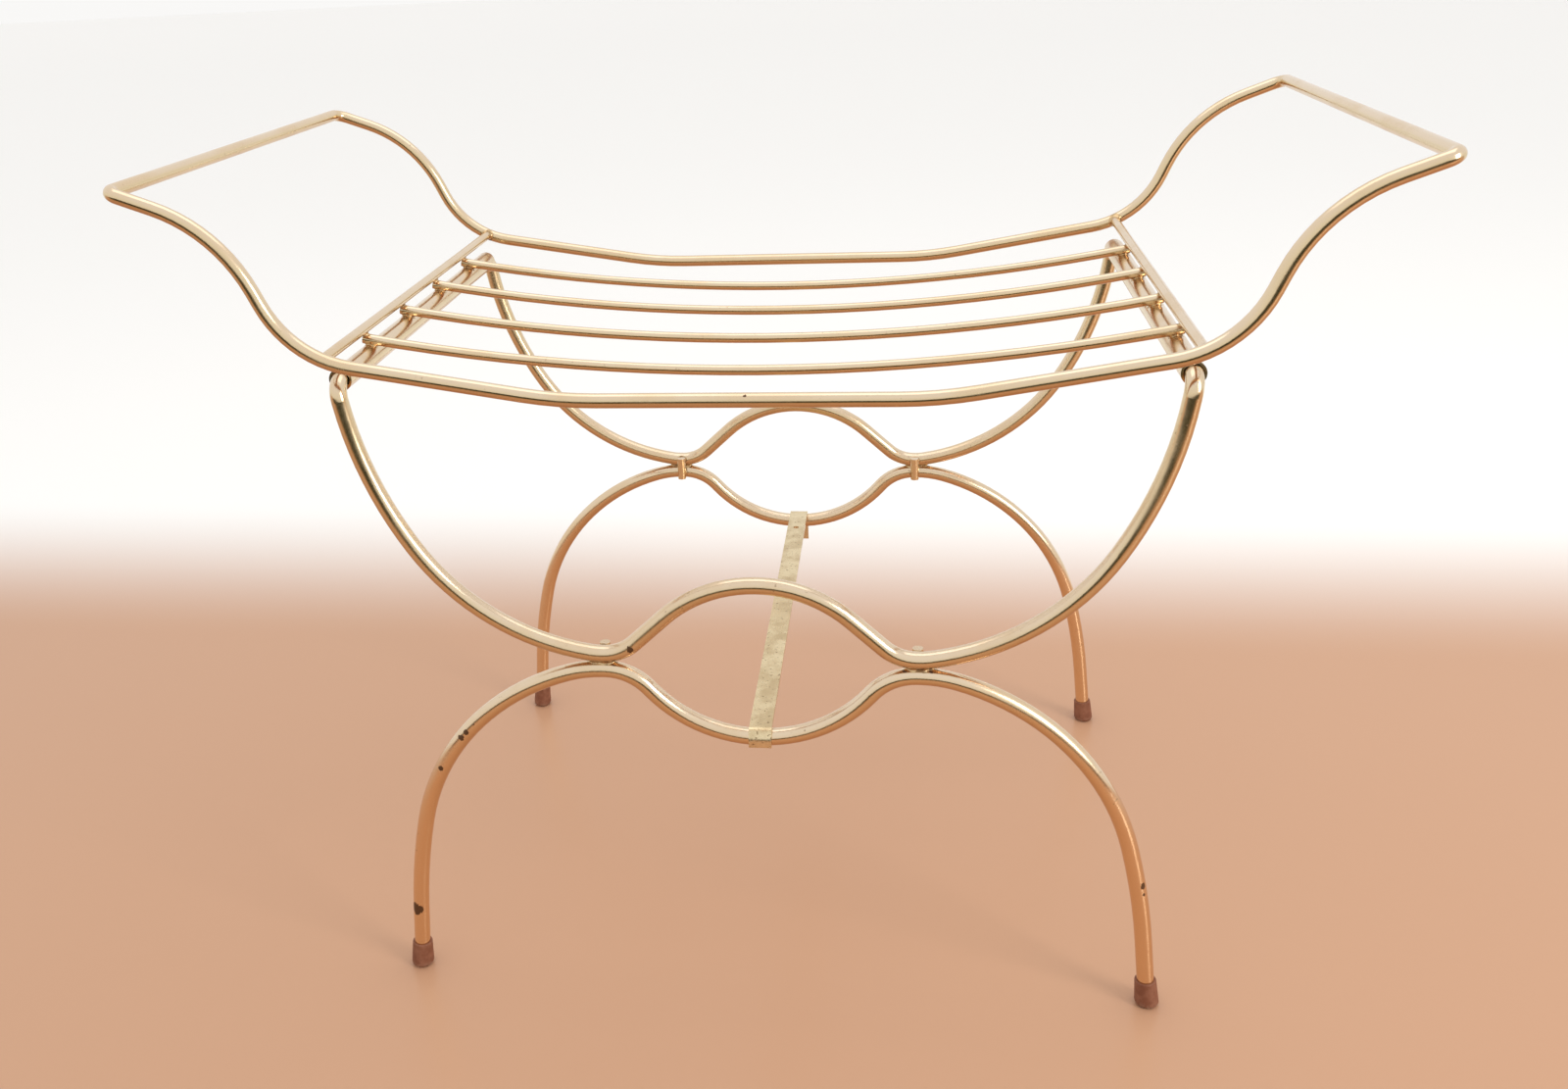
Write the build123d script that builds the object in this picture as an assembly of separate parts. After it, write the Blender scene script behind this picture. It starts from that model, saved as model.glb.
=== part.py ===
from build123d import *
import os
from math import cos, radians, sin, sqrt, tan

# Low bench-shaped magazine rack, brazed from solid brass rod.
# X runs along the length, Y from front to back, Z up. The origin is on the
# floor, under the middle of the rack. Left and right mirror each other, and so
# do the front and the back leg frames.

# ---- stock (mm) ----
LEG_D = 9.5              # rod of the four leg pieces
RAIL_D = 8.0             # rod of the outer rails and the raised handles
SLAT_D = 6.0             # rod of the slats, cross bars and tie dowels
TUBE_OD = 13.0           # tube that joins the front and back upper legs
MOUTH_D = 10.6           # counterbore at each end of that tube
MOUTH_DEPTH = 4.0
STRAP_W = 12.7           # flat bar between the lower legs
STRAP_T = 1.8

# ---- deck and handles ----
RAIL_Y = 167.5           # centre line of the front and back rails
RAIL_Z = 363.0           # height of the rails' flat middle
HANDLE_X = 335.0         # centre line of the handle bars
RISE_START_X = 98.6      # first bend of the rail, where it begins to climb
RISE_ANGLE = 9.5
KICK_X = 243.7           # second bend, where the handle kicks up
KICK_ANGLE = 65.4
TURN_X = 276.1           # third bend, where it leans outward again
TIP_ANGLE = 20.1
RISE_R = 240.0
KICK_R = 62.0
TURN_R = 88.0
FRONT_CORNER_R = 6.5     # bends between the front rail and the handle bars
BACK_CORNER_R = 9.0      # brazed corners between handle bars and back rail
CORNER_STUB = 24.0       # rod bent past the mitre before it is cut off
CROSS_BAR_X = 227.0
SLAT_PITCH = 67.0
SLAT_COUNT = 4
SLAT_END_X = 228.0       # slats stop just past the cross bars that lie on them
SLAT_LOW_Z = 359.0       # centre line of the slats at the middle of their sag

# ---- leg frames ----
LEG_Y = 157.5            # plane of each leg frame
CONTACT_X = 87.0         # where upper and lower legs touch
CONTACT_Z = 206.75
CONTACT_FLAT = 1.6       # short straight at the contact
UPPER_ARCH_R = 76.0
UPPER_ARCH_ANGLE = 42.5
UPPER_THROAT_R = 26.0
UPPER_SWEEP = [(40.0, 9.0), (141.0, 48.0), (223.0, 23.7)]   # radius, degrees
LOWER_ARCH_R = 81.0
LOWER_ARCH_ANGLE = 48.5
LOWER_THROAT_R = 32.0
LOWER_SWEEP = [(70.0, 16.4), (135.0, 60.3), (386.0, 9.0)]   # radius, degrees
SOCKET_Z = 370.0         # axis of the socket tubes
SOCKET_REACH = 149.5     # half length of a socket tube
SOCKET_PLUG = 25.0       # length of leg rod inside the tube
ELBOW_R = 9.5            # tight bend of the leg rod at the tube's mouth

# ---- small parts ----
DOWEL_L = 16.0
STRAP_FRONT_TAB = 10.0   # how far the strap's ends hang below its top face
STRAP_BACK_TAB = 24.0
STRAP_HOLE_D = 4.0
STRAP_HOLE_INSET = 37.0  # from the outer face of the back tab
CAP_H = 16.0
CAP_FLOOR = 3.0
CAP_TOP_D = 11.8
CAP_BOTTOM_D = 13.6
CAP_RIM_R = 0.6
CAP_EDGE_R = 2.6

SHORTEST_STRAIGHT = 0.01  # arcs closer than this follow on directly


def heading(angle):
    """Unit direction in the XZ plane, in degrees above +X."""
    return Vector(cos(radians(angle)), 0, sin(radians(angle)))


def bent_path(points, radii):
    """Straights joined by tangent arcs: one radius for each inner point."""
    edges = []
    start = points[0]
    for before, corner, after, radius in zip(points, points[1:], points[2:], radii):
        arrive = (corner - before).normalized()
        leave = (after - corner).normalized()
        half_turn = radians(arrive.get_angle(leave)) / 2
        reach = radius * tan(half_turn)
        arc_start = corner - arrive * reach
        arc_end = corner + leave * reach
        to_centre = (leave - arrive).normalized()
        arc_middle = corner + to_centre * (radius / cos(half_turn) - radius)
        if (arc_start - start).length > SHORTEST_STRAIGHT:
            edges.append(Line(start, arc_start))
        else:
            arc_start = start
        edges.append(ThreePointArc(arc_start, arc_middle, arc_end))
        start = arc_end
    edges.append(Line(start, points[-1]))
    return Wire(edges)


def rod(points, radii, diameter):
    """Round rod bent at each inner point of the path to the radius given."""
    path = bent_path(points, radii)
    section = Plane(origin=path @ 0, z_dir=path % 0) * Circle(diameter / 2)
    return sweep(section, path=path)


def mirror_points(points, radii):
    """Left half of a path that begins at the middle, followed by its right half."""
    left = [Vector(-p.X, p.Y, p.Z) for p in reversed(points)]
    return left + points, list(reversed(radii)) + radii


def at_y(points, y):
    return [Vector(p.X, y + p.Y, p.Z) for p in points]


def arc_corner(start, angle, radius, turn):
    """Corner of an arc that leaves start along angle, and the arc's far end."""
    reach = radius * tan(radians(abs(turn)) / 2)
    corner = start + heading(angle) * reach
    return corner, corner + heading(angle + turn) * reach


def arch_shape(arch_r, arch_angle, throat_r):
    """Length of an arch's straight flank, and how far its crown stands off the contact."""
    run = (arch_r + throat_r) * sin(radians(arch_angle))
    straight = (CONTACT_X - CONTACT_FLAT / 2 - run) / cos(radians(arch_angle))
    stand = (arch_r + throat_r) * (1 - cos(radians(arch_angle)))
    return straight, stand + straight * sin(radians(arch_angle))


def half_leg(side, arch_r, arch_angle, throat_r, sweep_arcs):
    """Corners and radii from the middle of a leg piece to its last arc.

    side is +1 for the upper leg, whose arch stands up at the middle, and -1
    for the lower leg, whose arch hangs down there."""
    straight, stand = arch_shape(arch_r, arch_angle, throat_r)
    crown = Vector(0, 0, CONTACT_Z + side * (LEG_D / 2 + stand))
    corners, radii = [], []
    corner, end = arc_corner(crown, 0, arch_r, -side * arch_angle)
    corners.append(corner)
    radii.append(arch_r)
    start = end + heading(-side * arch_angle) * straight
    corner, end = arc_corner(start, -side * arch_angle, throat_r, side * arch_angle)
    corners.append(corner)
    radii.append(throat_r)
    end += Vector(CONTACT_FLAT, 0, 0)
    angle = 0
    for radius, turn in sweep_arcs:
        corner, end = arc_corner(end, angle, radius, side * turn)
        corners.append(corner)
        radii.append(radius)
        angle += side * turn
    return corners, radii, end, angle


def run_to_height(start, angle, z):
    """Point where a straight from start along angle reaches height z."""
    return start + heading(angle) * ((z - start.Z) / sin(radians(angle)))


def upper_path():
    corners, radii, end, angle = half_leg(
        1, UPPER_ARCH_R, UPPER_ARCH_ANGLE, UPPER_THROAT_R, UPPER_SWEEP)
    return corners, radii, run_to_height(end, angle, SOCKET_Z)


def lower_path():
    corners, radii, end, angle = half_leg(
        -1, LOWER_ARCH_R, LOWER_ARCH_ANGLE, LOWER_THROAT_R, LOWER_SWEEP)
    return corners, radii, run_to_height(end, angle, CAP_FLOOR), angle


def leg_upper(y):
    """Upper leg: arch, two sweeps, and ends bent inward to enter the socket tubes."""
    corners, radii, elbow = upper_path()
    inward = -1 if y > 0 else 1
    plug_end = elbow + Vector(0, inward * (LEG_Y - SOCKET_REACH + SOCKET_PLUG), 0)
    points, bends = mirror_points(corners + [elbow, plug_end], radii + [ELBOW_R])
    return rod(at_y(points, y), bends, LEG_D)


def leg_lower(y):
    corners, radii, foot, _ = lower_path()
    points, bends = mirror_points(corners + [foot], radii)
    return rod(at_y(points, y), bends, LEG_D)


def socket_tube(side):
    """Tube along Y with a counterbored mouth at each end."""
    elbow = upper_path()[2]
    centre = Pos(side * elbow.X, 0, SOCKET_Z) * Rot(90, 0, 0)
    tube = Cylinder(TUBE_OD / 2, 2 * SOCKET_REACH) - Cylinder(LEG_D / 2, 2 * SOCKET_REACH)
    for end in (-1, 1):
        tube -= Pos(0, 0, end * (SOCKET_REACH - MOUTH_DEPTH / 2)) * Cylinder(MOUTH_D / 2, MOUTH_DEPTH)
    return centre * tube


def rail_half():
    """Corners of half a rail, from its flat middle out to the handle bar."""
    rise = Vector(RISE_START_X, 0, RAIL_Z)
    kick = rise + heading(RISE_ANGLE) * ((KICK_X - rise.X) / cos(radians(RISE_ANGLE)))
    turn = kick + heading(KICK_ANGLE) * ((TURN_X - KICK_X) / cos(radians(KICK_ANGLE)))
    tip = turn + heading(TIP_ANGLE) * ((HANDLE_X - TURN_X) / cos(radians(TIP_ANGLE)))
    return [rise, kick, turn, tip], [RISE_R, KICK_R, TURN_R]


def corner_block(side, beyond):
    """Block on one side of the mitre plane of a back corner.

    beyond is +1 for the back rail's side of the plane and -1 for the handle bar's."""
    tip = rail_half()[0][3]
    inward = Vector(-side * cos(radians(TIP_ANGLE)), 0, -sin(radians(TIP_ANGLE)))
    mitre = Plane(origin=(side * tip.X, RAIL_Y, tip.Z), z_dir=inward + Vector(0, 1, 0))
    size = 2 * CORNER_STUB
    return mitre * Pos(0, 0, beyond * size / 2) * Box(size, size, size)


def front_rail():
    """Front rail and both handle bars, bent from one rod."""
    half, radii = rail_half()
    back = half[3] + Vector(0, 2 * RAIL_Y, 0)
    stub = back - heading(TIP_ANGLE) * CORNER_STUB
    points, bends = mirror_points(half + [back, stub], radii + [FRONT_CORNER_R, BACK_CORNER_R])
    solid = rod(at_y(points, -RAIL_Y), bends, RAIL_D)
    return solid - corner_block(-1, 1) - corner_block(1, 1)


def back_rail():
    """Back rail, brazed at both ends to the handle bars in a mitred corner."""
    half, radii = rail_half()
    stub = half[3] - Vector(0, CORNER_STUB, 0)
    points, bends = mirror_points(half + [stub], radii + [BACK_CORNER_R])
    solid = rod(at_y(points, RAIL_Y), bends, RAIL_D)
    return solid - corner_block(-1, -1) - corner_block(1, -1)


def slat_arc():
    """Height of the centre and radius of the slats' sag, which rests on the tubes."""
    reach = (TUBE_OD + SLAT_D) / 2
    drop = SOCKET_Z - SLAT_LOW_Z
    tube_x = upper_path()[2].X
    radius = (tube_x ** 2 + drop ** 2 - reach ** 2) / (2 * (drop + reach))
    return SLAT_LOW_Z + radius, radius


def slat(y):
    """Slat that sags in one arc and rests on both socket tubes."""
    centre_z, radius = slat_arc()
    end_z = centre_z - sqrt(radius ** 2 - SLAT_END_X ** 2)
    arc = ThreePointArc((-SLAT_END_X, y, end_z), (0, y, SLAT_LOW_Z), (SLAT_END_X, y, end_z))
    section = Plane(origin=arc @ 0, z_dir=arc % 0) * Circle(SLAT_D / 2)
    return sweep(section, path=arc)


def cross_bar(side, rails):
    """Bar that lies on the slats' ends, its own ends shaped to the rails' round sides."""
    centre_z, radius = slat_arc()
    bar_z = centre_z - sqrt((radius - SLAT_D) ** 2 - CROSS_BAR_X ** 2)
    bar = Pos(side * CROSS_BAR_X, 0, bar_z) * Rot(90, 0, 0)
    solid = bar * Cylinder(SLAT_D / 2, 2 * RAIL_Y - RAIL_D / 2)
    for rail in rails:
        solid -= rail
    return solid


def tie_dowel(side, y):
    """Pin brazed into the inner side of an upper and a lower leg where they touch."""
    inward = -1 if y > 0 else 1
    centre_y = y + inward * (LEG_D + SLAT_D) / 2
    return Pos(side * CONTACT_X, centre_y, CONTACT_Z) * Cylinder(SLAT_D / 2, DOWEL_L)


def strap_stretcher():
    """Flat bar that lies on both lower legs and hooks down over their outer sides."""
    _, stand = arch_shape(LOWER_ARCH_R, LOWER_ARCH_ANGLE, LOWER_THROAT_R)
    crown_z = CONTACT_Z - LEG_D / 2 - stand
    inner_r = LOWER_ARCH_R - LEG_D / 2
    lift = inner_r - sqrt(inner_r ** 2 - (STRAP_W / 2) ** 2)
    top = crown_z + LEG_D / 2 + lift + STRAP_T
    outer_y = LEG_Y + LEG_D / 2 + STRAP_T
    line = FilletPolyline(
        (0, -outer_y + STRAP_T / 2, top - STRAP_FRONT_TAB),
        (0, -outer_y + STRAP_T / 2, top - STRAP_T / 2),
        (0, outer_y - STRAP_T / 2, top - STRAP_T / 2),
        (0, outer_y - STRAP_T / 2, top - STRAP_BACK_TAB),
        radius=(LEG_D + STRAP_T) / 2)
    start = Plane(origin=line @ 0, z_dir=line % 0, x_dir=(1, 0, 0))
    solid = sweep(start * Rectangle(STRAP_W, STRAP_T), path=line)
    hole = Pos(0, outer_y - STRAP_HOLE_INSET, top) * Cylinder(STRAP_HOLE_D / 2, 4 * STRAP_T)
    return solid - hole


def foot_cap(side, y, leg):
    """Rubber ferrule that follows the lean of the leg and stands flat on the floor."""
    _, _, foot, angle = lower_path()
    axis = Vector(-side * cos(radians(angle)), 0, -sin(radians(angle)))
    ground = Vector(side * foot.X, y, foot.Z) - axis * (CAP_FLOOR / axis.Z)
    stem = Plane(origin=ground, z_dir=axis, x_dir=(0, 1, 0))
    base = -CAP_FLOOR
    taper = (CAP_BOTTOM_D - CAP_TOP_D) / 2 / CAP_H
    profile = Polyline(
        (0, base), (CAP_BOTTOM_D / 2 - taper * base, base), (CAP_TOP_D / 2, CAP_H), (0, CAP_H),
        close=True)
    solid = stem * revolve(Plane.XZ * make_face(profile), Axis.Z)
    solid &= Pos(side * foot.X, y, CAP_H) * Box(4 * CAP_H, 4 * CAP_H, 2 * CAP_H)
    solid = fillet(solid.edges().group_by(Axis.Z)[0], CAP_EDGE_R)
    solid = fillet(solid.edges().group_by(Axis.Z)[-1], CAP_RIM_R)
    return solid - leg


def build():
    nodes = {}
    nodes["front_rail"] = front_rail()
    nodes["back_rail"] = back_rail()
    rails = [nodes["front_rail"], nodes["back_rail"]]
    nodes["left_cross_bar"] = cross_bar(-1, rails)
    nodes["right_cross_bar"] = cross_bar(1, rails)
    for index in range(SLAT_COUNT):
        y = (index - (SLAT_COUNT - 1) / 2) * SLAT_PITCH
        nodes[f"slat_{index + 1}"] = slat(y)
    for name, side in (("left", -1), ("right", 1)):
        nodes[f"{name}_socket_tube"] = socket_tube(side)
    for frame, y in (("front", -LEG_Y), ("back", LEG_Y)):
        nodes[f"{frame}_leg_upper"] = leg_upper(y)
        nodes[f"{frame}_leg_lower"] = leg_lower(y)
        for name, side in (("left", -1), ("right", 1)):
            nodes[f"{frame}_{name}_tie_dowel"] = tie_dowel(side, y)
            nodes[f"{frame}_{name}_foot_cap"] = foot_cap(side, y, nodes[f"{frame}_leg_lower"])
    nodes["strap_stretcher"] = strap_stretcher()
    return nodes


os.makedirs("parts", exist_ok=True)
for node, solid in build().items():
    export_step(solid, f"parts/{node}.step")
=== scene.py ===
import math
from functools import partial

import bpy
import numpy as np
from mathutils import Matrix, Vector


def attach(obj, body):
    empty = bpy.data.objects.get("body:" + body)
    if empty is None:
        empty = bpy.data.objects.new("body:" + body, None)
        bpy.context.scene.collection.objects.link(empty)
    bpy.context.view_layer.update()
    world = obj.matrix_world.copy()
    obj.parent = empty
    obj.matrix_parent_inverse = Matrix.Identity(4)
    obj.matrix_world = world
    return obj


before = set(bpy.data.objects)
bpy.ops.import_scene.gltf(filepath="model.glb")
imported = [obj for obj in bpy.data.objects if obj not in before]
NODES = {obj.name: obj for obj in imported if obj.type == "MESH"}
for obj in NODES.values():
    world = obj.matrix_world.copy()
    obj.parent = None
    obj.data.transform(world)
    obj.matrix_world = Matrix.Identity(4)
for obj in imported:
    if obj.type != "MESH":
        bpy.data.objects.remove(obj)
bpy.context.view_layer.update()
MM = 0.001

# ---------------------------------------------------------------- camera

IMAGE_W = 1600
SENSOR = 36.0
FOCAL_PX = 1511.4
EYE = Vector((0.0838, -0.8907, 0.5963))
YAW, PITCH, ROLL = -9.36, 16.0, -3.15         # degrees: left, down, clockwise
SHIFT = (111.5 / IMAGE_W, -190.6 / IMAGE_W)
CLIP = (0.05, 60)


def make_camera():
    """Camera at the photograph's viewing angle."""
    yaw, pitch, roll = (math.radians(a) for a in (YAW, PITCH, ROLL))
    ahead = Vector((math.sin(yaw) * math.cos(pitch), math.cos(yaw) * math.cos(pitch),
                    -math.sin(pitch)))
    level = Vector((math.cos(yaw), -math.sin(yaw), 0))
    above = level.cross(ahead)
    right = math.cos(roll) * level + math.sin(roll) * above
    up = math.cos(roll) * above - math.sin(roll) * level
    data = bpy.data.cameras.new("camera")
    data.sensor_width = SENSOR
    data.lens = FOCAL_PX / IMAGE_W * SENSOR
    data.shift_x, data.shift_y = SHIFT
    data.clip_start, data.clip_end = CLIP
    camera = bpy.data.objects.new("camera", data)
    turned = Matrix((right, up, -ahead)).transposed().to_4x4()
    camera.matrix_world = Matrix.Translation(EYE) @ turned
    bpy.context.scene.collection.objects.link(camera)
    bpy.context.scene.camera = camera


# ---------------------------------------------------------------- shader helpers

SPOT_CORE = 0.3              # part of a spot's radius where it is at its full strength


class Shader:
    """A material's node tree with short calls for the nodes used here."""

    def __init__(self, name):
        self.material = bpy.data.materials.new(name)
        self.material.use_nodes = True
        self.tree = self.material.node_tree
        self.bsdf = self.tree.nodes["Principled BSDF"]

    def new(self, kind, inputs=None, **settings):
        node = self.tree.nodes.new(kind)
        for key, value in settings.items():
            setattr(node, key, value)
        for key, value in (inputs or {}).items():
            self.put(node.inputs[key], value)
        return node

    def put(self, socket, value):
        """Link another node's socket, or set a plain value."""
        if isinstance(value, bpy.types.NodeSocket):
            self.tree.links.new(value, socket)
        else:
            socket.default_value = value

    def math(self, operation, a, b=0.0, clamp=False):
        node = self.new("ShaderNodeMath", {0: a, 1: b}, operation=operation, use_clamp=clamp)
        return node.outputs[0]

    def place(self):
        """Position in the object's own metres."""
        return self.new("ShaderNodeTexCoord").outputs["Object"]

    def part(self, vector, axis):
        """One coordinate of a vector: 0, 1 or 2."""
        return self.new("ShaderNodeSeparateXYZ", {0: vector}).outputs[axis]

    def noise(self, scale, detail=3.0, roughness=0.55, vector=None, distortion=0.0):
        inputs = {"Vector": vector or self.place(), "Scale": scale, "Detail": detail,
                  "Roughness": roughness, "Distortion": distortion}
        return self.new("ShaderNodeTexNoise", inputs).outputs["Fac"]

    def ramp(self, value, start, end):
        """0 up to start and 1 from end on; start may be the larger one."""
        inputs = {"Value": value, "From Min": start, "From Max": end}
        node = self.new("ShaderNodeMapRange", inputs, interpolation_type="SMOOTHSTEP")
        return node.outputs["Result"]

    def mix(self, factor, a, b):
        """A colour that goes from a to b. Sockets 6, 7 and 2 are the node's colour ones."""
        node = self.new("ShaderNodeMix", data_type="RGBA")
        self.put(node.inputs["Factor"], factor)
        self.put(node.inputs[6], a)
        self.put(node.inputs[7], b)
        return node.outputs[2]

    def blend(self, factor, a, b):
        """A number that goes from a to b."""
        node = self.new("ShaderNodeMix", data_type="FLOAT")
        self.put(node.inputs[0], factor)
        self.put(node.inputs[2], a)
        self.put(node.inputs[3], b)
        return node.outputs[0]

    def facing_up(self):
        """1 where the surface faces up, 0 at its sides, -1 where it faces down."""
        return self.part(self.new("ShaderNodeNewGeometry").outputs["Normal"], 2)

    def near(self, point, radius):
        """1 at point, fading to 0 at radius, both in metres."""
        away = self.new("ShaderNodeVectorMath", {0: self.place(), 1: point}, operation="DISTANCE")
        return self.ramp(away.outputs["Value"], radius, radius * SPOT_CORE)

    def shift(self, base, noise, reach):
        """base moved up and down by noise, over a range reach wide, and kept within 0 to 1."""
        swing = self.math("MULTIPLY", self.math("SUBTRACT", noise, 0.5), reach)
        return self.math("ADD", base, swing, clamp=True)

    def bump(self, height, strength, distance):
        """Surface normal bent by height."""
        inputs = {"Height": height, "Strength": strength, "Distance": distance}
        return self.new("ShaderNodeBump", inputs).outputs[0]

    def finish(self, color, roughness, metallic, normal=None):
        self.put(self.bsdf.inputs["Base Color"], color)
        self.put(self.bsdf.inputs["Roughness"], roughness)
        self.put(self.bsdf.inputs["Metallic"], metallic)
        if normal is not None:
            self.put(self.bsdf.inputs["Normal"], normal)
        return self.material


def rgb(red, green, blue):
    return (red, green, blue, 1.0)


# ---------------------------------------------------------------- materials

CHAMPAGNE = rgb(0.78, 0.63, 0.46)
WARM_GOLD = rgb(0.72, 0.53, 0.32)
# Painted shade and painted reflection of the floor: the colours of the rods' sides, of their
# sides near the floor and of their undersides.
SIDE_PAINTED_SHADE = rgb(0.74, 0.59, 0.36)
LOW_PAINTED_FLOOR_REFLECTION = rgb(0.78, 0.54, 0.32)
UNDERSIDE_PAINTED_SHADE_AND_REFLECTION = rgb(0.58, 0.37, 0.20)
TARNISH = rgb(0.24, 0.15, 0.07)
DARK_SPOT = rgb(0.085, 0.04, 0.02)
STRAP_BRIGHT = rgb(0.80, 0.66, 0.42)
STRAP_DULL = rgb(0.62, 0.48, 0.28)
BRAZE_GOLD = rgb(0.62, 0.44, 0.24)
BRAZE_DARK_PATCH = rgb(0.20, 0.11, 0.05)
RUBBER_DARK = rgb(0.190, 0.064, 0.031)
RUBBER_PALE = rgb(0.270, 0.110, 0.060)
FLOOR_DUST = rgb(0.36, 0.25, 0.18)

# Where the rods' painted shade and painted floor reflection begin: how far the surface faces up,
# and height in metres.
TOP_TO_SIDE = (0.62, 0.05)
SIDE_TO_UNDERSIDE = (0.0, -0.7)
HIGH_TO_LOW = (0.24, 0.10)
DUST_TOP = 0.0045            # height where the floor's dust ends on a foot

# Noise scales, in waves per metre, from broad clouds to the finest grain.
GATHERING, PATCHES, WAVES, BLOTCHES = 16.0, 22.0, 55.0, 70.0
MOTTLES, BRAZE_PATCHES, BROKEN_EDGES, SPECKS = 180.0, 240.0, 300.0, 420.0
CRUMBS, GRAIN, RUBBER_GRAIN = 700.0, 900.0, 1300.0
RUBS = (900.0, 30.0, 900.0)  # across, along and through the strap

# Roughness, from the smoothest places to the roughest.
ROD_ROUGH = (0.17, 0.27)
STRAP_ROUGH = (0.22, 0.32)
BRAZE_ROUGH = (0.24, 0.5)
RUBBER_ROUGH = (0.55, 0.72)
TARNISH_ROUGH = 0.5
DULL_SPECULAR = 0.4          # of the rubber and the floor

# Relief of each surface: strength, and depth in metres.
ROD_RELIEF = (0.2, 0.0006)
STRAP_RELIEF = (0.25, 0.0004)
BRAZE_RELIEF = (0.3, 0.0004)
RUBBER_RELIEF = (0.25, 0.0003)


def brass(name, spots=()):
    """Lacquered brass rod with tarnish: pale gold on top, painted shade at its sides, a coppery
    painted reflection of the floor on its low sides, and painted shade with floor reflection
    below.

    spots are (point, radius) in metres where dark tarnish gathers."""
    s = Shader(name)
    patches = s.ramp(s.noise(PATCHES, 4.0), 0.42, 0.68)
    color = s.mix(s.math("MULTIPLY", patches, 0.55), CHAMPAGNE, WARM_GOLD)
    # Painted shade and painted floor reflection, set by which way the surface faces and how low
    # it is.
    up = s.facing_up()
    low = s.ramp(s.part(s.place(), 2), *HIGH_TO_LOW)
    color = s.mix(s.ramp(up, *TOP_TO_SIDE), color, s.mix(low, SIDE_PAINTED_SHADE, LOW_PAINTED_FLOOR_REFLECTION))
    color = s.mix(s.ramp(up, *SIDE_TO_UNDERSIDE), color, UNDERSIDE_PAINTED_SHADE_AND_REFLECTION)
    freckles = s.ramp(s.noise(SPECKS, 2.0, 0.6), 0.66, 0.74)
    gather = s.ramp(s.noise(GATHERING, 2.0), 0.50, 0.66)
    specks = s.math("MULTIPLY", s.math("MULTIPLY", freckles, gather), 0.55)
    color = s.mix(specks, color, TARNISH)
    if spots:
        stain = 0.0
        for point, radius in spots:
            stain = s.math("MAXIMUM", stain, s.near(point, radius))
        broken = s.ramp(s.noise(BROKEN_EDGES, 4.0, 0.65, distortion=0.6), 0.62, 0.38)
        reach = s.math("SUBTRACT", s.math("MULTIPLY", stain, 1.7), broken)
        dark = s.ramp(reach, 0.0, 0.35)
        specks = s.math("MAXIMUM", specks, dark)
        color = s.mix(s.math("MULTIPLY", dark, 0.9), color, DARK_SPOT)
    rough = s.blend(specks, s.blend(patches, *ROD_ROUGH), TARNISH_ROUGH)
    fine = s.noise(GRAIN, 3.0, 0.6)
    waves = s.math("MULTIPLY", s.noise(WAVES, 2.0, 0.5), 0.97)
    height = s.math("ADD", waves, s.math("MULTIPLY", fine, 0.03))
    return s.finish(color, s.shift(rough, fine, 0.06), 1.0, s.bump(height, *ROD_RELIEF))


def strap_brass():
    """Dull strip brass: blotchy, with lengthwise rub marks."""
    s = Shader("strap_brass")
    blotches = s.ramp(s.noise(BLOTCHES, 5.0, 0.65), 0.38, 0.66)
    color = s.mix(blotches, STRAP_BRIGHT, STRAP_DULL)
    pits = s.ramp(s.noise(SPECKS, 3.0, 0.6), 0.63, 0.67)
    color = s.mix(s.math("MULTIPLY", pits, 0.8), color, TARNISH)
    stretched = s.new("ShaderNodeMapping", {"Vector": s.place(), "Scale": RUBS}).outputs[0]
    rubs = s.noise(1.0, 4.0, 0.6, vector=stretched)
    rough = s.shift(s.blend(blotches, *STRAP_ROUGH), rubs, 0.2)
    height = s.math("SUBTRACT", rubs, s.math("MULTIPLY", pits, 0.6))
    return s.finish(color, rough, 1.0, s.bump(height, *STRAP_RELIEF))


def braze_metal():
    """Filler metal at the joints: yellower, with dark brown patches at random."""
    s = Shader("braze_metal")
    dark_patches = s.ramp(s.noise(BRAZE_PATCHES, 4.0, 0.6), 0.45, 0.62)
    color = s.mix(s.math("MULTIPLY", dark_patches, 0.8), BRAZE_GOLD, BRAZE_DARK_PATCH)
    height = s.noise(CRUMBS, 3.0, 0.6)
    return s.finish(color, s.blend(dark_patches, *BRAZE_ROUGH), 1.0, s.bump(height, *BRAZE_RELIEF))


def foot_rubber():
    """Moulded brown rubber, dusty near the floor."""
    s = Shader("foot_rubber")
    mottled = s.ramp(s.noise(MOTTLES, 4.0, 0.6), 0.35, 0.70)
    color = s.mix(mottled, RUBBER_DARK, RUBBER_PALE)
    near_floor = s.ramp(s.part(s.place(), 2), DUST_TOP, 0.0)
    dust = s.math("MULTIPLY", near_floor, s.ramp(s.noise(SPECKS, 3.0), 0.40, 0.62))
    color = s.mix(s.math("MULTIPLY", dust, 0.5), color, FLOOR_DUST)
    grain = s.noise(RUBBER_GRAIN, 3.0, 0.6)
    s.bsdf.inputs["Specular IOR Level"].default_value = DULL_SPECULAR
    return s.finish(color, s.blend(mottled, *RUBBER_ROUGH), 0.0, s.bump(grain, *RUBBER_RELIEF))


# ---------------------------------------------------------------- braze beads

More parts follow.
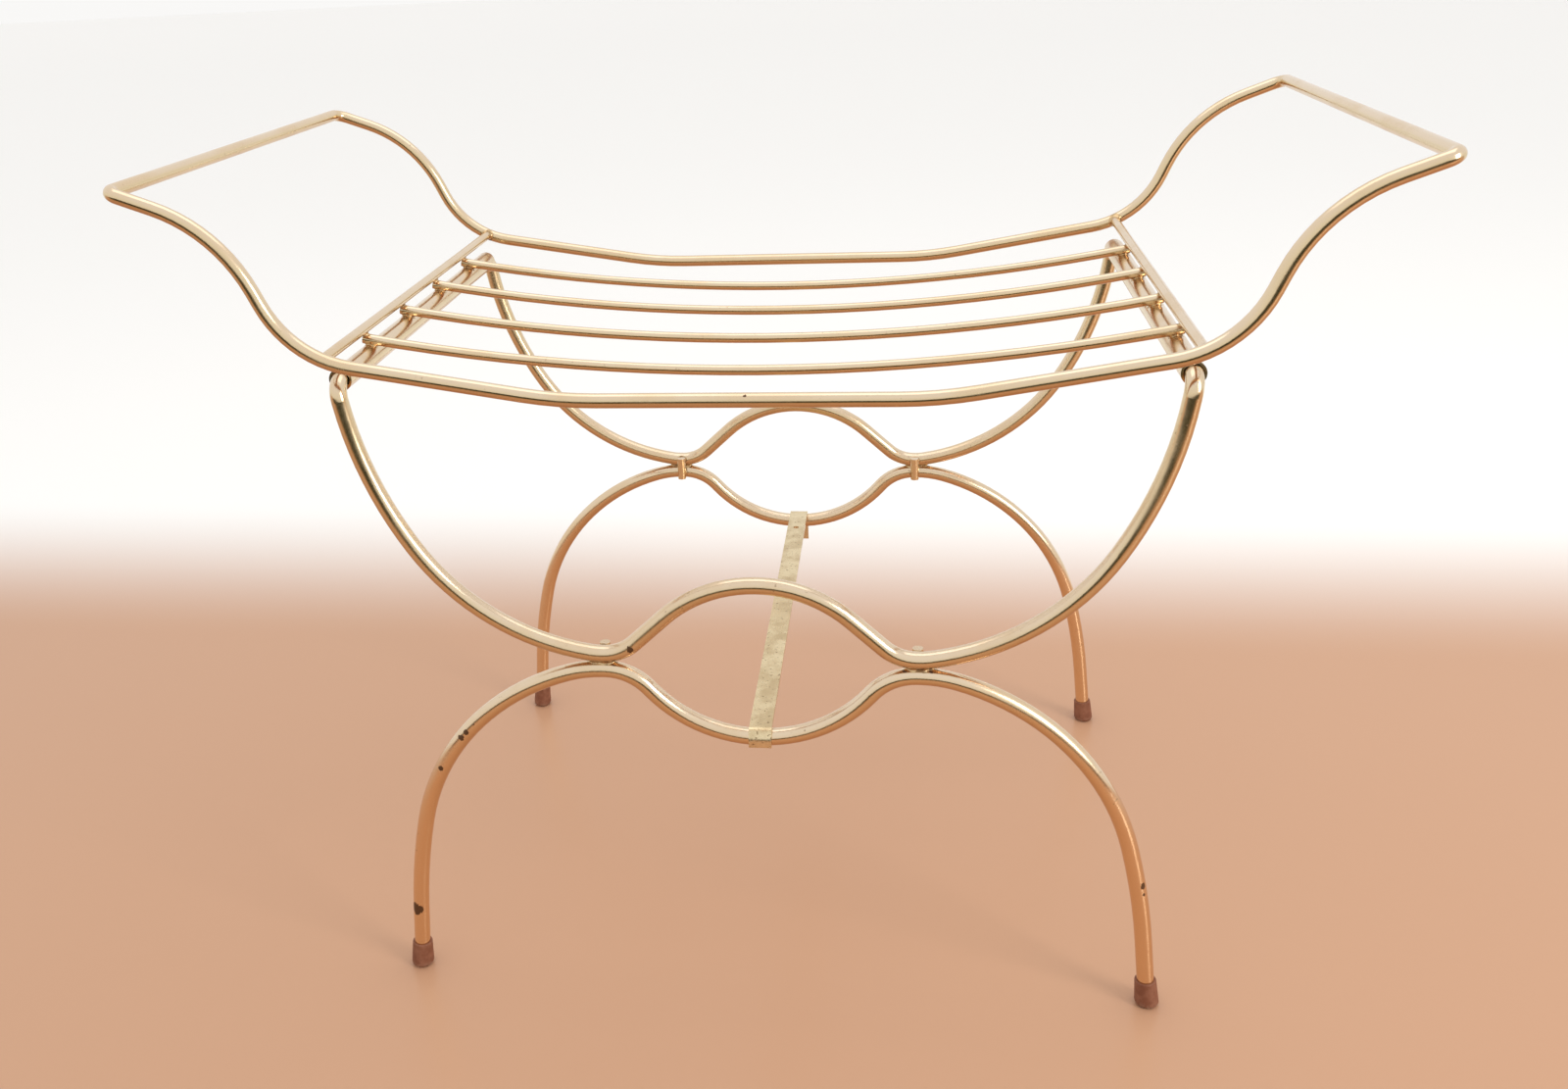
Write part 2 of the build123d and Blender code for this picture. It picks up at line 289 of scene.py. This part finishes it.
# Millimetres in this section: radii of the rods, then where they run, as in the CAD.
LEG_R, RAIL_R, BAR_R, TUBE_R = 4.75, 4.0, 3.0, 6.5
TUBE_X, TUBE_Z, TUBE_HALF = 224.96, 370, 149.5
BAR_X, BAR_Z, BAR_HALF = 227, 386.15, 165
SLAT_Z, SLAT_CLIMB = 380.04, 0.187            # height and slope under the cross bar
SLAT_SPAN = (-32, 1.0)                        # along the slat, from the cross bar
SLAT_ROWS = (-100.5, -33.5, 33.5, 100.5)
RAIL_Y, LEG_Y = 167.5, 157.5
KICK_X, KICK_Z, KICK_R = 201.02, 443.0, 62    # bend of the rail at the cross bar
CONTACT_X, CONTACT_Z, CONTACT_HALF = 87, 206.75, 0.8
UPPER_BENDS = (26, 40)                        # bends at the contact: inward, outward
LOWER_BENDS = (32, 70)
PIN_INSET, PIN_HALF = 7.75, 8

BEAD_STEP = 0.5          # grid that the metal is found on
BEAD_HIDE = 0.06         # how far its skin is pulled in, so that it sinks into the rods
COVER_SLACK = -0.03      # faces deeper than this inside a rod are dropped
LUMPINESS = 0.35         # how much the metal's spread varies
LUMP_WAVES, LUMP_PITCH, LUMP_PHASE = 6, 0.55, 6.28
SLAT_BEAD = {"half": (11, 9, 12), "fill": 2.2}
BAR_BEAD = {"half": (9, 9, 9), "fill": 2.6}
CONTACT_BEAD = {"half": (16, 11, 13), "fill": 2.2}
SLAT_BEAD_X, SLAT_BEAD_Z = 225, 378
BAR_BEAD_Y, BAR_BEAD_Z = 163, 386
CONTACT_BEAD_INSET = 2.5
SLAT_SEED_STEP, BAR_SEED, CONTACT_SEED = 10, 60, 80


def rod_distance(points, through, along, radius, span):
    """Distance to a round rod; span limits it along its axis, measured from through."""
    along = np.array(along, float)
    along /= np.linalg.norm(along)
    offset = points - np.array(through, float)
    run = offset @ along
    across = np.linalg.norm(offset - run[..., None] * along, axis=-1) - radius
    return np.maximum(across, np.maximum(span[0] - run, run - span[1]))


def arc_distance(points, centre, big_radius, radius):
    """Distance to a rod bent round centre in the XZ plane."""
    offset = points - np.array(centre, float)
    flat = np.hypot(offset[..., 0], offset[..., 2]) - big_radius
    return np.hypot(flat, offset[..., 1]) - radius


def throat_distance(points, y, up, bends):
    """Distance to a leg rod where it bends away from its contact: up is 1 or -1."""
    x = np.abs(points[..., 0]) - CONTACT_X
    bend = np.where(x < 0, *bends)
    centre_z = CONTACT_Z + up * (LEG_R + bend)
    past_flat = np.maximum(np.abs(x) - CONTACT_HALF, 0)
    flat = np.hypot(past_flat, points[..., 2] - centre_z) - bend
    return np.hypot(flat, points[..., 1] - y) - LEG_R


def blend_distance(a, b, size):
    """The nearer of two distances, with the corner between them filled over size."""
    mix = np.clip(0.5 + 0.5 * (b - a) / size, 0, 1)
    return b + (a - b) * mix - size * mix * (1 - mix)


def lumps(points, seed):
    """Gentle hand-made unevenness round 0, mostly within -1 to 1."""
    rng = np.random.default_rng(seed)
    total = np.zeros(points.shape[:-1])
    for _ in range(LUMP_WAVES):
        wave = rng.normal(0, LUMP_PITCH, 3)
        total += np.sin(points @ wave + rng.uniform(0, LUMP_PHASE))
    return total / 4


def surface_net(values, low, step):
    """Vertices and quads where values change sign on a regular grid."""
    inside = values < 0
    cells = np.zeros(np.array(values.shape) - 1, int)      # each cell's vertex number
    total = np.zeros(cells.shape + (3,))
    count = np.zeros(cells.shape)
    index = np.stack(np.meshgrid(*[np.arange(n) for n in cells.shape], indexing="ij"), -1)
    for axis in range(3):
        b, c = [k for k in range(3) if k != axis]
        for db in (0, 1):
            for dc in (0, 1):
                first = index.copy()
                first[..., b] += db
                first[..., c] += dc
                second = first.copy()
                second[..., axis] += 1
                va = values[tuple(np.moveaxis(first, -1, 0))]
                vb = values[tuple(np.moveaxis(second, -1, 0))]
                crossed = (va < 0) != (vb < 0)
                part = np.where(crossed, va / np.where(crossed, va - vb, 1), 0)
                spot = first.astype(float)
                spot[..., axis] += part
                total += np.where(crossed[..., None], spot, 0)
                count += crossed
    used = count > 0
    cells[used] = np.arange(used.sum())
    vertices = total[used] / count[used][:, None] * step + low
    quads = []
    for axis in range(3):
        b, c = (axis + 1) % 3, (axis + 2) % 3
        lower = np.take(inside, range(inside.shape[axis] - 1), axis)
        upper = np.take(inside, range(1, inside.shape[axis]), axis)
        for edge in np.argwhere(lower != upper):
            if not (0 < edge[b] < cells.shape[b] and 0 < edge[c] < cells.shape[c]):
                continue
            ring = []
            for db, dc in ((1, 1), (0, 1), (0, 0), (1, 0)):
                cell = edge.copy()
                cell[b] -= db
                cell[c] -= dc
                ring.append(int(cells[tuple(cell)]))
            quads.append(ring if inside[tuple(edge)] else ring[::-1])
    return vertices, quads


def bead(name, centre, half, fill, fields, seed, material):
    """Braze metal that fills the corners between the rods in fields.

    half is the half size of the box searched, and fill how far the metal spreads."""
    low = np.array(centre, float) - half
    counts = np.ceil(2 * np.array(half) / BEAD_STEP).astype(int) + 1
    steps = [np.arange(n) * BEAD_STEP for n in counts]
    points = np.stack(np.meshgrid(*steps, indexing="ij"), -1) + low
    spread = fill * (1 + LUMPINESS * lumps(points, seed))
    joined = fields[0](points)
    for field in fields[1:]:
        joined = blend_distance(joined, field(points), spread)
    vertices, quads = surface_net(joined + BEAD_HIDE, low, BEAD_STEP)
    cover = np.min([field(vertices) for field in fields], axis=0)
    kept = [quad for quad in quads if max(cover[quad]) > COVER_SLACK]
    used = sorted({i for quad in kept for i in quad})
    order = {old: new for new, old in enumerate(used)}
    mesh = bpy.data.meshes.new(name)
    faces = [[order[i] for i in quad] for quad in kept]
    mesh.from_pydata([tuple(v) for v in vertices[used] * MM], [], faces)
    mesh.polygons.foreach_set("use_smooth", [True] * len(faces))
    mesh.materials.append(material)
    piece = bpy.data.objects.new(name, mesh)
    bpy.context.scene.collection.objects.link(piece)
    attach(piece, "root")


def make_beads():
    """Braze metal at the slats' ends, at the cross bars' ends and at the leg contacts."""
    metal = braze_metal()
    for side, hand in ((-1, "left"), (1, "right")):
        bar = partial(rod_distance, through=(side * BAR_X, 0, BAR_Z), along=(0, 1, 0),
                      radius=BAR_R, span=(-BAR_HALF, BAR_HALF))
        tube = partial(rod_distance, through=(side * TUBE_X, 0, TUBE_Z), along=(0, 1, 0),
                       radius=TUBE_R, span=(-TUBE_HALF, TUBE_HALF))
        for number, y in enumerate(SLAT_ROWS, 1):
            slat = partial(rod_distance, through=(side * BAR_X, y, SLAT_Z),
                           along=(side, 0, SLAT_CLIMB), radius=BAR_R, span=SLAT_SPAN)
            bead(f"braze_slat_{number}_{hand}", (side * SLAT_BEAD_X, y, SLAT_BEAD_Z),
                 **SLAT_BEAD, fields=[bar, slat, tube],
                 seed=SLAT_SEED_STEP * number + side, material=metal)
        for face, name in ((-1, "front"), (1, "back")):
            y = face * LEG_Y
            rail = partial(arc_distance, centre=(side * KICK_X, face * RAIL_Y, KICK_Z),
                           big_radius=KICK_R, radius=RAIL_R)
            upper = partial(throat_distance, y=y, up=1, bends=UPPER_BENDS)
            lower = partial(throat_distance, y=y, up=-1, bends=LOWER_BENDS)
            pin_place = (side * CONTACT_X, y - face * PIN_INSET, CONTACT_Z)
            pin = partial(rod_distance, through=pin_place, along=(0, 0, 1), radius=BAR_R,
                          span=(-PIN_HALF, PIN_HALF))
            joint = face + 3 * side
            bead(f"braze_bar_{name}_{hand}", (side * BAR_X, face * BAR_BEAD_Y, BAR_BEAD_Z),
                 **BAR_BEAD, fields=[bar, rail], seed=BAR_SEED + joint, material=metal)
            contact = (side * CONTACT_X, y - face * CONTACT_BEAD_INSET, CONTACT_Z)
            bead(f"braze_contact_{name}_{hand}", contact, **CONTACT_BEAD,
                 fields=[upper, lower, pin], seed=CONTACT_SEED + joint, material=metal)


# ---------------------------------------------------------------- studio

FLOOR_HALF = 15.0
FLOOR_NEAR = rgb(0.56, 0.315, 0.19)
FLOOR_FAR = rgb(0.96, 0.95, 0.935)
NEAR_TO_FAR = (0.26, 0.60)             # depth where the floor turns pale, behind the rack
FLOOR_ROUGH = 0.32
# Glowing card seen only in reflections: painted shade in its middle, painted floor reflection at
# its rim.
CARD_PLACE = (0, -4.3, 0.01)
CARD_SIZE = (12.0, 7.4)
CARD_PAINTED_SHADE = rgb(0.055, 0.054, 0.030)
CARD_PAINTED_FLOOR_GLOW = rgb(0.66, 0.38, 0.24)
CARD_FADE = (0.87, 1.0)                # from its middle to its edge
SKY = (1.0, 0.99, 0.975, 1.0)
SKY_STRENGTH = 0.95
AIM = (0, 0, 0.25)                     # the lights point at the middle of the rack


def level_sheet(name, width, depth, place=(0, 0, 0)):
    """Flat rectangle that faces up."""
    mesh = bpy.data.meshes.new(name)
    corners = [(-1, -1), (1, -1), (1, 1), (-1, 1)]
    points = [(x * width / 2, y * depth / 2, 0) for x, y in corners]
    mesh.from_pydata(points, [], [(0, 1, 2, 3)])
    sheet = bpy.data.objects.new(name, mesh)
    sheet.location = place
    bpy.context.scene.collection.objects.link(sheet)
    return sheet


def make_floor():
    floor = level_sheet("floor", 2 * FLOOR_HALF, 2 * FLOOR_HALF)
    s = Shader("floor")
    color = s.mix(s.ramp(s.part(s.place(), 1), *NEAR_TO_FAR), FLOOR_NEAR, FLOOR_FAR)
    s.bsdf.inputs["Specular IOR Level"].default_value = DULL_SPECULAR
    floor.data.materials.append(s.finish(color, FLOOR_ROUGH, 0.0))


def make_card():
    """Card in front that glows, dark in its middle and peach at its soft edges, and only shows as
    a reflection in the metal: painted shade of unlit surroundings and a painted reflection of the
    floor.

    It is seen from above only, so the glossy floor does not mirror it."""
    panel = level_sheet("painted_reflection_card", *CARD_SIZE, CARD_PLACE)
    s = Shader("painted_reflection_card")
    inputs = {"Vector": s.place(), "Scale": (2 / CARD_SIZE[0], 2 / CARD_SIZE[1], 0)}
    spot = s.new("ShaderNodeMapping", inputs).outputs[0]
    away = s.new("ShaderNodeVectorMath", {0: spot}, operation="LENGTH").outputs["Value"]
    glow = s.mix(s.ramp(away, *CARD_FADE), CARD_PAINTED_SHADE, CARD_PAINTED_FLOOR_GLOW)
    s.put(s.bsdf.inputs["Emission Color"], glow)
    s.bsdf.inputs["Emission Strength"].default_value = 1.0
    s.bsdf.inputs["Specular IOR Level"].default_value = 0.0
    panel.data.materials.append(s.finish(rgb(0, 0, 0), 1.0, 0.0))
    back = s.new("ShaderNodeNewGeometry").outputs["Backfacing"]
    clear = s.new("ShaderNodeBsdfTransparent").outputs[0]
    one_sided = s.new("ShaderNodeMixShader", {0: back, 1: s.bsdf.outputs[0], 2: clear})
    s.put(s.tree.nodes["Material Output"].inputs["Surface"], one_sided.outputs[0])
    panel.visible_camera = False
    panel.visible_diffuse = False
    panel.visible_shadow = False


def softbox(name, place, size, power, color=(1, 1, 1)):
    """Soft rectangular light; place and size in metres, power in watts."""
    data = bpy.data.lights.new(name, "AREA")
    data.shape = "RECTANGLE"
    data.size, data.size_y = size
    data.energy = power
    data.color = color
    light = bpy.data.objects.new(name, data)
    light.location = place
    light.rotation_euler = (Vector(AIM) - Vector(place)).to_track_quat("-Z", "Y").to_euler()
    light.visible_camera = False
    bpy.context.scene.collection.objects.link(light)


def make_studio():
    make_floor()
    make_card()
    world = bpy.data.worlds.new("studio")
    world.use_nodes = True
    background = world.node_tree.nodes["Background"]
    background.inputs["Color"].default_value = SKY
    background.inputs["Strength"].default_value = SKY_STRENGTH
    bpy.context.scene.world = world
    bpy.context.scene.view_settings.view_transform = "Standard"
    softbox("window", (2.0, -1.3, 1.15), (0.8, 1.3), power=26, color=(1.0, 0.985, 0.96))
    softbox("top", (0.0, 0.3, 2.0), (1.8, 1.2), power=5)


# ---------------------------------------------------------------- dress the CAD nodes

def dress(node, material):
    """Give a CAD node one material on all its faces."""
    data = NODES[node].data
    data.materials.clear()
    data.materials.append(material)
    for polygon in data.polygons:
        polygon.material_index = 0


# Dark tarnish: places on the front rods and how far each spreads, in metres.
STAINS = {
    "front_leg_upper": [
        ((-0.0705, -0.1615, 0.2165), 0.0028), ((-0.0800, -0.1610, 0.2075), 0.0022)],
    "front_leg_lower": [
        ((-0.1728, -0.1614, 0.1580), 0.0026), ((-0.1693, -0.1614, 0.1615), 0.0024),
        ((-0.1645, -0.1614, 0.1668), 0.0015), ((-0.1868, -0.1620, 0.1380), 0.0022),
        ((-0.2063, -0.1620, 0.0936), 0.0020), ((-0.2082, -0.1620, 0.0815), 0.0016),
        ((-0.2120, -0.1615, 0.0410), 0.0052), ((0.0800, -0.1590, 0.2060), 0.0020),
        ((0.0940, -0.1590, 0.2060), 0.0020), ((0.2088, -0.1620, 0.0790), 0.0028),
        ((0.2090, -0.1618, 0.0738), 0.0015)],
    "front_rail": [((0.0004, -0.1705, 0.3665), 0.0016)],
}


def dress_all():
    plain, strap, rubber = brass("brass"), strap_brass(), foot_rubber()
    for name in NODES:
        if "foot_cap" in name:
            dress(name, rubber)
        elif name == "strap_stretcher":
            dress(name, strap)
        elif name in STAINS:
            dress(name, brass("brass_" + name, STAINS[name]))
        else:
            dress(name, plain)


make_camera()
make_studio()
dress_all()
make_beads()
